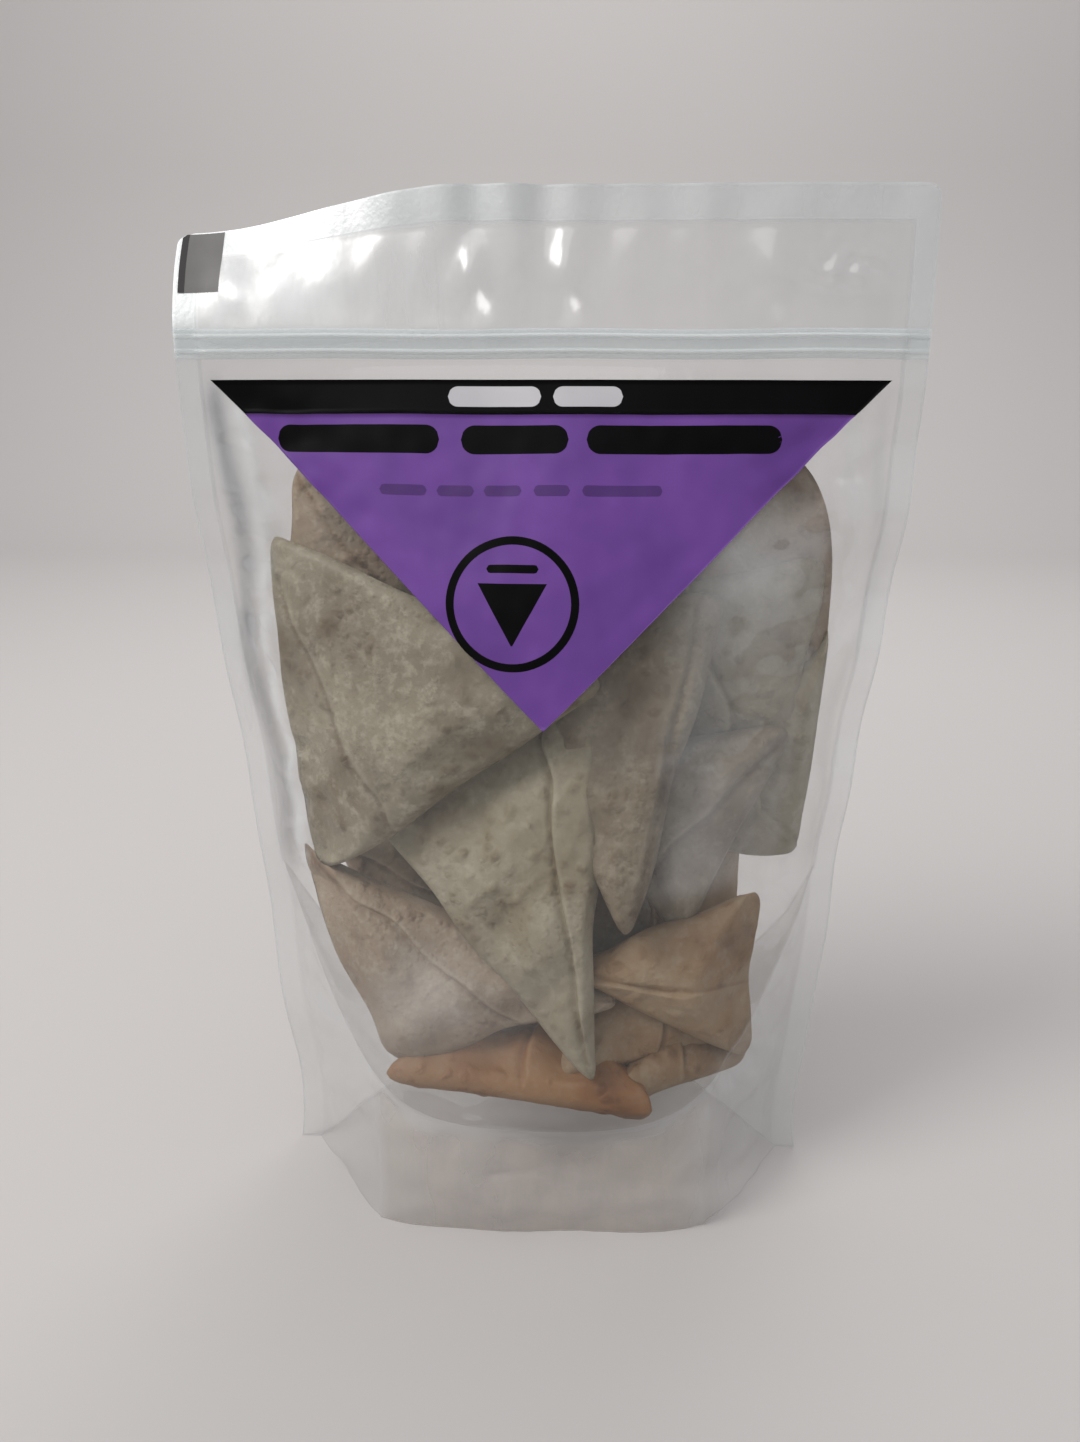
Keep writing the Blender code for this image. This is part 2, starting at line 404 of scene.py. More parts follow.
def header_shift(x, z):
    """(back, down) shift of the header: its left corner hangs."""
    up = np.clip((z - ZIP_HIGH.z) / (TOP_Z - ZIP_HIGH.z), 0.0, 1.0)
    side = smoothstep((-x - DROOP_FROM_X) / (HALF_WIDTH - DROOP_FROM_X))
    return DROOP_BACK * side * up ** 1.5, DROOP_DOWN * side * up


def header_waves(x, z):
    """(together, apart): the waves that the header's films share, and how far each is from their middle."""
    place = np.stack([x, 0.25 * z], axis=-1)
    up = np.clip((z - ZIP_HIGH.z) / (TOP_Z - ZIP_HIGH.z), 0.0, 1.0)
    open_top = TOP_Z - TOP_SEAL - 1 * MM
    level = np.clip((z - ZIP_HIGH.z) / (open_top - ZIP_HIGH.z), 0.0, 1.0)
    hump = np.sin(math.pi * level)
    inside = smoothstep((FILM_HALF - np.abs(x)) / (14 * MM))
    pleats = ripple(place, 17 * MM, 5)
    gathered = 0.45 + 0.55 * smoothstep((35 * MM - np.abs(x + 15 * MM)) / (30 * MM))
    together = (0.8 * MM * smoothstep(up * 1.4) * pleats * gathered
                + 0.9 * MM * smoothstep(up) * np.sin(2.0 * math.pi * x / (88 * MM) + 0.6))
    apart = hump * inside * MM * (1.7 + 1.1 * gathered * ripple(place, 14 * MM, 6))

    # A small crushed patch near the top right corner.
    crushed = np.exp(-((x - 75 * MM) / (13 * MM)) ** 2 - ((z - 255 * MM) / (7 * MM)) ** 2)
    apart += 0.8 * MM * hump * inside * crushed * ripple(np.stack([x, z], axis=-1), 6.5 * MM, 8)
    return together, np.maximum(apart, 0.0)


def corner_cut(z):
    """How much narrower the header is at this height because its top corners are round."""
    above = np.clip(z - (TOP_Z - CORNER_RADIUS), 0.0, CORNER_RADIUS)
    return CORNER_RADIUS - np.sqrt(CORNER_RADIUS ** 2 - above ** 2)


def film_points(s, z, side):
    """Places on the front (side -1) or back (side 1) film, for a grid s metres across and z metres up."""
    across = np.clip(s / FILM_HALF, -1.0, 1.0)
    x = across * inner_half_width(z) + (s - across * FILM_HALF)
    x = np.sign(x) * np.minimum(np.abs(x), HALF_WIDTH - corner_cut(z))
    y = side * (FILM_APART + bulge(z) * panel_shape(np.abs(across), z))
    smooth = np.stack([x, y, z], axis=-1)

    # The film is wrinkled along its own normals.
    outward = sheet_normals(smooth)
    outward *= np.sign(outward[..., 1:2] * side)
    inside = smoothstep((FILM_HALF - np.abs(s)) / (10 * MM))
    points = smooth + outward * (wrinkles(s, z, side) * inside)[..., None]

    # The sealed sides sway a little, and the header waves and hangs.
    fin = smoothstep((np.abs(s) - 62 * MM) / (27 * MM)) * smoothstep((PARTING_Z - z) / (30 * MM))
    sway = np.where(s < 0, ripple(z[..., None], 52 * MM, 31), ripple(z[..., None], 47 * MM, 32))
    points[..., 1] += 0.7 * MM * fin * sway * smoothstep(z / (20 * MM))
    together, apart = header_waves(x, z)
    back, down = header_shift(x, z)
    points[..., 1] += together + back + side * apart
    points[..., 2] -= down
    points[..., 1] = np.clip(points[..., 1], CAD_LOW.y + CLEARANCE, CAD_HIGH.y - CLEARANCE)
    points[..., 2] = np.clip(points[..., 2], CLEARANCE, TOP_Z)
    return points


def film_grid():
    """The film's own coordinates (s, z), about a millimetre apart, with columns at the side seals."""
    seal = np.linspace(FILM_HALF, HALF_WIDTH, 7)
    across = np.concatenate([-seal[::-1], np.linspace(-FILM_HALF, FILM_HALF, 179)[1:-1], seal])
    top = np.linspace(TOP_Z - CORNER_RADIUS, TOP_Z, 7)
    up = np.concatenate([np.linspace(0.0, TOP_Z - CORNER_RADIUS, 244)[:-1], top])
    return np.meshgrid(across, up)


def sealed_depth(s, z):
    """How far inside a sealed zone the film is, in metres; negative outside one."""
    across = np.clip(s / FILM_HALF, -1.0, 1.0)
    at_side = np.abs(s) - FILM_HALF
    at_top = z - (TOP_Z - TOP_SEAL)
    at_skirt = 0.8 * (gusset_arc(across) - z)
    return np.maximum(np.maximum(at_side, at_top), at_skirt)


def cloudiness(s, z):
    """How milky the film is here: most in the header towards its hanging corner."""
    in_header = smoothstep((z - ZIP_LOW.z) / (5 * MM))
    towards_left = 0.35 + 0.65 * smoothstep((30 * MM - s) / (110 * MM))
    return in_header * towards_left


def pleat(s, z, middle, width, right_share):
    """How near this is to a pleat beside each side seal, for painting a dark reflection and a highlight
    there: middle and width are measured from the seal.
    """
    from_seal = FILM_HALF - np.abs(s)
    drift = 1.3 * MM * ripple(np.stack([np.sign(s) * 40 * MM, z], axis=-1), 70 * MM, 61)
    near = np.exp(-((from_seal + drift - middle) / width) ** 2)
    reach = smoothstep((z - 84 * MM) / (20 * MM)) * smoothstep((PARTING_Z - z) / (12 * MM))
    return near * reach * np.where(s < 0, 1.0, right_share)


def fogged(s, z):
    """How dull the film is here: over its right half, and low on the left."""
    right = smoothstep((s - 26 * MM) / (22 * MM)) * smoothstep((z - 95 * MM) / (8 * MM))
    low = 0.6 * np.exp(-((s + 30 * MM) / (34 * MM)) ** 2 - ((z - 68 * MM) / (17 * MM)) ** 2)
    under_label = smoothstep((206 * MM - z) / (30 * MM))
    off_seals = smoothstep((HALF_WIDTH - 16 * MM - np.abs(s)) / (8 * MM))
    return (right + low) * under_label * off_seals


def skirt_shade(s, z):
    """How much painted shade dims and dulls the film in its skirt, under the gusset's arc and between the
    foot's folds.
    """
    across = np.clip(s / FILM_HALF, -1.0, 1.0)
    below = smoothstep((gusset_arc(across) - z) / (6 * MM))
    fade = np.where(across < 0, 0.06, 0.24)
    return below * smoothstep((CREASE_ACROSS + fade / 2.0 - np.abs(across)) / fade)


# -------------------- materials

def film_material():
    """Clear glossy film, milkier where it is sealed, seen aslant and in the header, with painted
    highlights, dark reflections and shade.
    """
    shader = Shader("clear_film", IOR=2.4, Specular_IOR_Level=0.8, Coat_IOR=2.2)
    sealed = shader.between(shader.field("sealed"), 0.0, 0.5 * MM)
    # Painted highlight along the film's cut edges: the film is more opaque there.
    cut_edge_highlight = shader.between(shader.field("from_edge"), 0.9 * MM, 0.1 * MM)
    ridge = shader.between(shader.math("ABSOLUTE", shader.field("sealed")), 0.9 * MM, 0.2 * MM)
    cloud = shader.field("cloud")
    shade = shader.field("shade")
    slant = shader.add("ShaderNodeLayerWeight")
    slant.inputs["Blend"].default_value = 0.25
    patches = shader.between(shader.noise(48 * MM, detail=3.0, shift=4.0), 0.42, 0.72)
    streaks = shader.noise(9 * MM, detail=4.0, stretch=(1.0, 1.0, 5.0), shift=9.0)
    columns = shader.noise(13 * MM, detail=3.0, stretch=(1.0, 1.0, 4.0), shift=5.0)
    upright = shader.between(columns, 0.30, 0.62)
    milky = shader.math("MULTIPLY", cloud, upright)
    milky_seal = shader.math("MULTIPLY", cloud, sealed)
    broken = shader.total(0.3, (1.1, streaks))
    # Painted dark reflections and painted highlights in the pleats beside the side seals, broken into
    # streaks.
    dark_pleat = shader.math("MULTIPLY", shader.field("dark_pleat"), broken)
    light_pleat = shader.math("MULTIPLY", shader.field("light_pleat"), broken)
    fog = shader.math("MULTIPLY", shader.field("fog"), shader.total(0.55, (0.9, patches)))
    # Painted shadow in the skirt: the film is more opaque there, broken up by noise.
    painted_skirt_shadow = shader.math("MULTIPLY", shade, shader.total(0.60, (0.5, upright), (0.3, patches)))
    dull = shader.math("MULTIPLY", fog, 2.0, clamp=True)
    tint = shader.blend(dull, colour(150, 153, 152), colour(188, 187, 184))
    tint = shader.blend(cloud, tint, colour(240, 244, 243))
    tint = shader.blend(shader.math("MULTIPLY", sealed, 0.6), tint, colour(214, 219, 219))
    # Colours of the pleats' painted highlight and painted dark reflection.
    tint = shader.blend(light_pleat, tint, colour(238, 243, 243))
    tint = shader.blend(dark_pleat, tint, colour(98, 103, 105))
    # The skirt's painted shadow turns the colour towards a warm grey.
    shader.feed("Base Color", shader.blend(shade, tint, colour(163, 151, 138)))
    shader.feed("Alpha", shader.total(
        0.05, (0.08, sealed), (0.20, cut_edge_highlight), (0.13, ridge), (0.04, patches), (0.04, streaks), (0.20, cloud),
        (0.16, milky), (0.26, milky_seal), (0.30, painted_skirt_shadow), (0.46, dark_pleat), (0.28, light_pleat),
        (0.41, fog), (0.26, slant.outputs["Facing"]), clamp=True))
    roughness = shader.total(0.10, (0.14, sealed), (0.05, streaks), (0.10, shade), (0.22, cloud))
    shader.feed("Roughness", roughness)
    shader.feed("Coat Weight", shader.total(1.0, (-0.5, cloud)))
    shader.feed("Coat Roughness", shader.total(0.05, (0.36, cloud)))
    emboss = shader.math("MULTIPLY", sealed, shader.noise(1.1 * MM, detail=1.0))
    fine = shader.noise(9 * MM, detail=3.0, stretch=(1.0, 1.0, 2.2), shift=2.0)
    shader.relief(shader.total((0.15, emboss), (0.85, fine)), 1.2 * MM, 0.6)
    return shader.material


def zip_material():
    """Clear plastic, milkier at its rounded edges, with fine streaks along the zip."""
    shader = Shader("zip_plastic", Base_Color=colour(226, 232, 232), IOR=1.5, Coat_Weight=0.5,
                    Coat_Roughness=0.08)
    slant = shader.add("ShaderNodeLayerWeight")
    slant.inputs["Blend"].default_value = 0.35
    streaks = shader.noise(5 * MM, detail=2.0, stretch=(6.0, 1.0, 1.0))
    shader.feed("Alpha", shader.total(0.20, (0.45, slant.outputs["Facing"]), (0.12, streaks), clamp=True))
    shader.feed("Roughness", shader.total(0.14, (0.10, streaks)))
    return shader.material


def label_material(name, shade, deep, shine=0.2):
    """Coated paper in one ink, which is a little uneven."""
    shader = Shader(name, Specular_IOR_Level=shine)
    mottle = shader.noise(24 * MM, detail=3.0)
    grain = shader.noise(0.5 * MM, detail=2.0)
    shader.feed("Base Color", shader.blend(shader.between(mottle, 0.3, 0.7), shade, deep))
    shader.feed("Roughness", shader.total(0.42, (0.12, grain)))
    shader.relief(grain, 0.02 * MM, 0.4)
    return shader.material


def samosa_material(name, pale, tan, brown, dark, dust):
    """Fried pastry: blistered, mottled, browner near its edges and on blisters, floury, with painted shadow
    and highlights at flap edges and rims.
    """
    shader = Shader(name, Specular_IOR_Level=0.35, Subsurface_Weight=0.12, Subsurface_Scale=2 * MM)
    crust = shader.field("crust")
    broad = shader.noise(15 * MM, detail=5.0, roughness=0.6, distortion=0.3)
    patch = shader.noise(30 * MM, detail=2.0, shift=12.0)
    spots = shader.noise(2.8 * MM, detail=5.0, roughness=0.65, shift=3.0)
    grain = shader.noise(0.6 * MM, detail=3.0, roughness=0.7, shift=6.0)
    sparse = shader.between(broad, 0.46, 0.58)
    blister = shader.math("MULTIPLY", shader.between(shader.cells(4.2 * MM, 2.0), 0.48, 0.12), sparse)
    bubble = shader.math("MULTIPLY", shader.between(shader.cells(1.9 * MM, 7.0), 0.55, 0.15),
                         shader.between(patch, 0.42, 0.60))
    # The crust field brings painted shadow and highlights at flap edges and rims along with the browning.
    browning_and_painted_light = shader.total(-0.46, (0.50, crust), (0.74, broad), (0.34, spots), (0.16, blister),
                            (0.08, bubble), clamp=True)
    crust_colour_with_painted_light = shader.ramp(browning_and_painted_light, (0.05, pale), (0.35, tan), (0.66, brown), (1.0, dark))
    floury = shader.math("MULTIPLY", shader.between(spots, 0.42, 0.66), shader.between(broad, 0.62, 0.42))
    dusted = shader.blend(shader.math("MULTIPLY", floury, dust), crust_colour_with_painted_light, colour(184, 177, 158))
    shader.feed("Base Color", dusted)
    shader.principled.inputs["Subsurface Radius"].default_value = (1.0, 0.7, 0.45)
    shader.feed("Roughness", shader.total(0.42, (0.30, spots)))
    surface = shader.total((0.14, broad), (0.20, spots), (0.10, grain), (0.42, blister), (0.16, bubble))
    shader.relief(surface, 1.1 * MM, 0.8)
    return shader.material


def plain_material(name, shade, roughness):
    """A matt, slightly cloudy shade."""
    shader = Shader(name, Specular_IOR_Level=0.3)
    cloudy = shader.noise(0.5, detail=2.0)
    lighter = tuple(min(1.0, 1.04 * value) for value in shade[:3]) + (1.0,)
    shader.feed("Base Color", shader.blend(cloudy, shade, lighter))
    shader.principled.inputs["Roughness"].default_value = roughness
    return shader.material


# -------------------- pieces

def make_film(side, material):
    """The front (side -1) or back (side 1) film, with the fields that its material reads."""
    s, z = film_grid()
    points = film_points(s, z, side)
    from_edge = np.minimum(np.minimum(HALF_WIDTH - np.abs(s), TOP_Z - z), z)
    name = "film_front" if side < 0 else "film_back"
    dullness = 0.8 if side < 0 else 0.25
    # The shade field paints shadow into the skirt.
    return sheet(name, points, material, flip=side > 0, sealed=sealed_depth(s, z), from_edge=from_edge,
                 cloud=cloudiness(s, z), shade=skirt_shade(s, z), fog=fogged(s, z) * dullness,
                 # Bands beside the side seals painted with a dark reflection and a highlight.
                 dark_pleat=pleat(s, z, 3.2 * MM, 2.4 * MM, 0.25),
                 light_pleat=pleat(s, z, 9.5 * MM, 2.6 * MM, 0.5))


def make_gusset(material):
    """The film between the two arcs, sagging under the samosas and a little puckered."""
    across, between = np.meshgrid(np.linspace(-1.0, 1.0, 150), np.linspace(-1.0, 1.0, 61))
    arc = gusset_arc(across)
    s = across * FILM_HALF
    front = film_points(s, arc, -1)
    back = film_points(s, arc, 1)
    share = ((between + 1.0) / 2.0)[..., None]
    points = front * (1.0 - share) + back * share
    hump = 1.0 - between ** 2
    sag = GUSSET_SAG * (1.0 - np.abs(across) ** 3)
    pucker = 0.8 * MM * ripple(points[..., :2], 26 * MM, 41)
    points[..., 2] -= hump * (sag + pucker)
    far = np.full(across.shape, 20 * MM)
    none = np.zeros(across.shape)
    # The gusset carries a little painted shade all over.
    return sheet("gusset", points, material, sealed=-far, from_edge=far, cloud=none, shade=none + 0.2,
                 fog=none, dark_pleat=none, light_pleat=none)


def make_zip(side, material):
    """A zip track with two rounded ribs, crushed flat where the side seals cross it."""
    along = np.linspace(-HALF_WIDTH, HALF_WIDTH, 150)
    crushed = 1.0 - 0.75 * smoothstep((np.abs(along) - (FILM_HALF - 2 * MM)) / (3 * MM))
    up = np.linspace(-1.0, 1.0, 45)
    ribs = sum(np.sqrt(np.clip(1.0 - ((up - middle) / RIB_WIDTH) ** 2, 0.0, 1.0))
               for middle in (-RIB_AT, RIB_AT))
    web = WEB * np.clip(1.0 - up ** 8, 0.0, 1.0)
    inner_y = FILM_APART + TRACK_OFF
    outer = inner_y + (web[:, None] + RIB * ribs[:, None]) * crushed[None, :]
    sway = 0.12 * MM * ripple(along[:, None], 60 * MM, 51)
    z = ZIP_Z + (ZIP_HEIGHT / 2.0 - 0.1 * MM) * up[:, None] + sway[None, :]
    front = np.stack(np.broadcast_arrays(along[None, :], side * outer, z), axis=-1)
    rear = np.stack(np.broadcast_arrays(along[None, :], side * np.full_like(outer, inner_y), z), axis=-1)
    points = np.concatenate([front, rear[::-1]])
    points = np.concatenate([points, points[:1]])
    points[..., 2] = np.clip(points[..., 2], ZIP_LOW.z, ZIP_HIGH.z)
    name = "zip_track_front" if side < 0 else "zip_track_back"
    return sheet(name, points, material, flip=side > 0)


def label_point(right, down, off):
    """The place that is right of the label's middle, down from its top edge and off its back, in metres."""
    height = LABEL_HIGH.z - LABEL_LOW.z
    z = LABEL_HIGH.z - down * height / LABEL_WIDE
    s = right * FILM_HALF / inner_half_width(z)
    points = film_points(s, z, -1)
    step = 0.5 * MM
    higher = film_points(s, z + step, -1)
    lower = film_points(s, z - step, -1)
    left = film_points(s - step, z, -1)
    more = film_points(s + step, z, -1)
    outward = unit(np.cross(more - left, higher - lower))
    right_edge = smoothstep((right + down - LABEL_WIDE + 9 * MM) / (9 * MM))
    lift = LABEL_OFF + off + LABEL_CURL * right_edge * (0.5 + 0.5 * np.sin(down / (7 * MM)))
    return points + outward * lift[..., None]


def label_part(name, top, bottom, material, paper):
    """The part of the triangular label between two distances down from its top edge, with its cut edge."""
    rows = max(int((bottom - top) / (1.2 * MM)), 4)
    columns = 121
    across, down = np.meshgrid(np.linspace(-1.0, 1.0, columns), np.linspace(top, bottom, rows))
    right = across * np.maximum(LABEL_HALF - down, 0.15 * MM)
    face = label_point(right, down, LABEL_THICK)
    rear = label_point(right, down, 0.0)
    faces = grid_faces(rows, columns)
    count = face.shape[0] * face.shape[1]
    index = np.arange(count).reshape(face.shape[:2])
    rim = np.concatenate([index[0], index[1:, -1], index[-1, -2::-1], index[-2:0:-1, 0]])
    following = np.roll(rim, -1)
    wall = np.stack([rim, rim + count, following + count, following], axis=-1)
    points = np.concatenate([face.reshape(-1, 3), rear.reshape(-1, 3)])
    everything = np.concatenate([faces[:, ::-1], faces + count, wall])
    part = mesh_object(name, points, everything, material)
    part.data.materials.append(paper)
    for polygon in part.data.polygons[len(faces):]:
        polygon.material_index = 1
    return part


def printed(name, shapes, material):
    """Printed shapes on the label, each a grid of (right, down) places, joined as one piece."""
    points = []
    faces = []
    count = 0
    for right, down in shapes:
        grid = label_point(right, down, PRINT_OFF)
        points.append(grid.reshape(-1, 3))
        faces.append(grid_faces(*grid.shape[:2])[:, ::-1] + count)
        count += grid.shape[0] * grid.shape[1]
    return mesh_object(name, np.concatenate(points), np.concatenate(faces), material)


def bar(left, right, top, bottom):
    """A printed bar with rounded ends, in millimetres from the middle of the label's top edge."""
    across = np.linspace(left, right, max(int(right - left), 6) * 2)
    radius = (bottom - top) / 2.0
    into = np.clip(np.minimum(across - left, right - across) / radius, 0.0, 1.0)
    half = radius * np.sqrt(1.0 - (1.0 - into) ** 2) + 0.01
    level = np.linspace(-1.0, 1.0, 7)
    down = (top + bottom) / 2.0 + level[:, None] * half[None, :]
    return np.broadcast_to(across, down.shape) * MM, down * MM


def ring(centre_right, centre_down, inner, outer):
    """A printed ring, in the same millimetres."""
    angles = np.radians(np.linspace(0.0, 360.0, 73))
    radii = np.linspace(inner, outer, 4)
    right = centre_right + radii[:, None] * np.sin(angles)[None, :]
    down = centre_down - radii[:, None] * np.cos(angles)[None, :]
    return right[:, ::-1] * MM, down[:, ::-1] * MM


def wedge(tip, left, right):
    """A solid printed triangle, as a grid that narrows to its tip."""
    tip = np.array(tip)
    left = np.array(left)
    right = np.array(right)
    share = np.linspace(0.02, 1.0, 12)[:, None, None]
    across = np.linspace(0.0, 1.0, 12)[None, :, None]
    places = tip + share * ((left - tip) * (1.0 - across) + (right - tip) * across)
    return places[..., 0] * MM, places[..., 1] * MM


def make_label():
    """The label's black band and purple field, and its print: bars for words, and a ring as a mark."""
    purple = label_material("label_purple", colour(107, 69, 144), colour(93, 59, 129))
    black = label_material("label_black", colour(12, 11, 12), colour(16, 14, 16), 0.06)
    white = label_material("label_white", colour(190, 188, 190), colour(176, 174, 178))
    faint = label_material("label_faint", colour(78, 50, 108), colour(72, 45, 100))
    paper = label_material("label_back", colour(206, 205, 203), colour(198, 196, 196))
    band = label_part("label_band", 0.0, BAND, black, paper)
    field = label_part("label_field", BAND, LABEL_HALF - 0.2 * MM, purple, paper)
    words = [bar(-25, -1.5, 1.7, 6.7), bar(1.5, 19, 1.7, 6.7)]
    title = [bar(-69, -27, 11.3, 18.3), bar(-21.5, 5.5, 11.3, 18.3), bar(10, 59, 11.3, 18.3)]
    line = [bar(left, right, 26, 28.6)
            for left, right in ((-42, -30), (-27.5, -18), (-15.5, -6), (-3, 6), (9, 29))]
    mark = [ring(-8, 55, 14.6, 16.6), wedge((-8, 65.5), (-16.6, 50), (0.6, 50)),
            bar(-14.5, -1.5, 45.4, 47.4)]
    return [band, field, printed("label_words", words, white),
            printed("label_title", title + mark, black), printed("label_line", line, faint)]


def make_eye_mark():
    """The small dark patch printed at the top left corner, with a darker stripe down its outer side."""
    grey = label_material("mark_grey", colour(116, 114, 112), colour(100, 98, 97))
    dark = label_material("mark_dark", colour(62, 60, 60), colour(54, 52, 52))
    patches = (("eye_mark", -93.6, -83.2, grey, 0.12),
               ("eye_mark_stripe", -93.8, -92.2, dark, 0.20))
    pieces = []
    for name, left, right, material, off in patches:
        s, z = np.meshgrid(np.linspace(left, right, 12) * MM, TOP_Z - np.linspace(0.4, 21.0, 20) * MM)
        points = film_points(s, z, -1)
        points[..., 1] -= off * MM
        pieces.append(sheet(name, points, material))
    return pieces


# -------------------- samosas

@functools.cache
def triangle_grid(steps):
    """Shares of the three corners at each point of a triangular grid, and its faces."""
    index = {}
    shares = []
    for i in range(steps + 1):
        for j in range(steps + 1 - i):
            index[i, j] = len(shares)
            shares.append((i, j, steps - i - j))
    faces = []
    for i in range(steps):
        for j in range(steps - i):
            faces.append((index[i, j], index[i + 1, j], index[i, j + 1]))
            if i + j < steps - 1:
                faces.append((index[i + 1, j], index[i + 1, j + 1], index[i, j + 1]))
    return np.array(shares) / steps, np.array(faces)


def front_normal(corners):
    """The direction square to a triangle, on the side that faces the front of the pouch."""
    normal = unit(np.cross(corners[1] - corners[0], corners[2] - corners[0]))
    return -normal if normal[1] > 0 else normal


def insets(shares, corners):
    """How far each point of a triangular grid is from the nearest side."""
    area = np.linalg.norm(np.cross(corners[1] - corners[0], corners[2] - corners[0])) / 2.0
    sides = np.linalg.norm(np.roll(corners, -1, axis=0) - np.roll(corners, 1, axis=0), axis=1)
    return (shares * (2.0 * area / sides)).min(axis=1)


def rounded_triangle(shares, corners, seed):
    """A triangular grid with round corners, and sides that aren't quite straight."""
    middle = corners.mean(axis=0)
    flat = shares @ corners
    outness = 1.0 - 3.0 * shares.min(axis=1)
    rim = middle + (flat - middle) / np.maximum(outness, 0.02)[:, None]
    for corner in corners:
        near = np.clip(1.0 - np.linalg.norm(rim - corner, axis=1) / CORNER_REACH, 0.0, 1.0)
        flat += unit(middle - corner) * (0.43 * CORNER_REACH * near ** 2 * outness ** 3)[:, None]
    sway = 1.1 * MM * ripple(rim, 40 * MM, seed)
    flat += unit(rim - middle) * (sway * outness ** 4)[:, None]
    return flat


def past_flap(flat, corners, normal, flap):
    """How far each point is past the edge of a flap, on the side where the pastry lies higher."""
    corner, share, _ = flap
    start = corners[corner]
    other = [k for k in range(3) if k != corner]
    end = corners[other[0]] * (1.0 - share) + corners[other[1]] * share
    square = np.cross(normal, unit(end - start))
    off = (flat - start) @ square
    return -off if (corners[other[1]] - start) @ square < 0 else off


def samosa_face(plane, inset, off, lift, hand, seed):
    """(relief, colour field): how far one face stands off a plain cushion, and how browned it is, with
    painted highlights and a painted shadow.
    """
    round_in = np.clip(inset / EDGE_HALF, 0.0, 1.0)
    raised = lift * smoothstep(off / (0.6 * MM) + 0.5) * smoothstep(inset / (2 * MM))
    tucked = -0.5 * lift * np.exp(-((off + 0.9 * MM) / (1.1 * MM)) ** 2) * round_in
    lumps = 0.85 * MM * ripple(plane, 24 * MM, seed + 4 * hand) * smoothstep(inset / (9 * MM))
    cells = ripple(plane, 7.5 * MM, seed + 7 * hand, count=24)
    blisters = 0.34 * MM * np.maximum(cells - 0.5, 0.0) * round_in
    creases = -0.10 * MM * np.exp(-(ripple(plane, 17 * MM, seed + 9 * hand) / 0.12) ** 2) * round_in
    # Browner towards the rim; the pale line right at the rim and the pale band on a flap's edge are painted
    # highlights, and the dark band just below a flap's edge is painted shadow.
    crust = (0.22 * np.exp(-inset / (3.5 * MM)) - 0.42 * np.exp(-inset / (1.3 * MM))
             + 0.55 * np.exp(-((off + 0.8 * MM) / (0.9 * MM)) ** 2)
             - 0.45 * np.exp(-((off - 0.6 * MM) / (0.7 * MM)) ** 2)
             + 0.12 * np.maximum(cells, 0.0) + 0.30 + 0.20 * ripple(plane, 36 * MM, seed + 12))
    return raised + tucked + lumps + blisters + creases, crust


def make_samosa(name, corners, thick, seed, material, front_flap, back_flap, bend, tip_layers, steps):
    """A folded triangular samosa.

    Lengths are in millimetres. A flap is (corner, share, lift): its edge runs from that corner to a share
    of the way along the opposite side, and the pastry past it lies higher by its lift.
    """
    shares, triangles = triangle_grid(steps)
    corners = np.array(corners) * MM
    middle = corners.mean(axis=0)
    normal = front_normal(corners)
    inset = insets(shares, corners)
    flat = rounded_triangle(shares, corners, seed)

    # Places along and across the samosa, for its bend and for what is drawn on it.
    along = unit(corners[0] - middle)
    aside = np.cross(normal, along)
    plane = np.stack([(flat - middle) @ along, (flat - middle) @ aside], axis=-1)
    bow = bend * MM * (plane[:, 0] ** 2 - plane[:, 1] ** 2) / (40 * MM) ** 2
    base = flat + normal * bow[:, None]

    # A cushion with a round edge, and the layers of pastry that show at its tip.
    round_in = np.clip(inset / EDGE_HALF, 0.0, 1.0)
    edge = EDGE_HALF * np.sqrt(1.0 - (1.0 - round_in) ** 2)
    puff = (thick * MM / 2.0 - EDGE_HALF) * smoothstep(inset / (0.75 * inset.max())) ** 0.7
    at_tip = smoothstep(1.0 - np.linalg.norm(flat - corners[0], axis=1) / (24 * MM))
    leaves = np.sin(plane[:, 1] / (0.62 * MM) + 1.2 * ripple(plane, 9 * MM, seed + 5)) * round_in
    layers = tip_layers * MM * at_tip * leaves

    wander = 0.9 * MM * ripple(plane, 33 * MM, seed + 3) * smoothstep(inset / (10 * MM))
    surfaces = []
    crusts = []
    for hand, flap in ((1, front_flap), (-1, back_flap)):
        off = past_flap(flat, corners, normal, flap) + wander
        relief, crust = samosa_face(plane, inset, off, flap[2] * MM, hand, seed)
        height = edge + (puff + relief + layers) * np.minimum(inset / (1 * MM), 1.0)
        surfaces.append(base + normal * (hand * np.maximum(height, 0.0))[:, None])
        crusts.append(crust)

    # Both faces share the points of the rim.
    count = len(flat)
    on_rim = shares.min(axis=1) <= 0.0
    rear_index = np.where(on_rim, np.arange(count), 0)
    rear_index[~on_rim] = count + np.arange((~on_rim).sum())
    points = held_in(np.concatenate([surfaces[0], surfaces[1][~on_rim]]))
    crust = np.concatenate([crusts[0], crusts[1][~on_rim]])
    front_faces = triangles
    if np.cross(corners[0] - corners[2], corners[1] - corners[2]) @ normal < 0:
        front_faces = triangles[:, ::-1]
    faces = np.concatenate([front_faces, rear_index[front_faces[:, ::-1]]])
    return mesh_object(name, points, faces, material, crust=np.clip(crust, 0.0, 1.0))


def eased(values, limit, knee):
    """Values that level off towards limit, from knee below it on."""
    past = np.maximum(values - (limit - knee), 0.0)
    return np.minimum(values, limit - knee) + knee * np.tanh(past / knee)


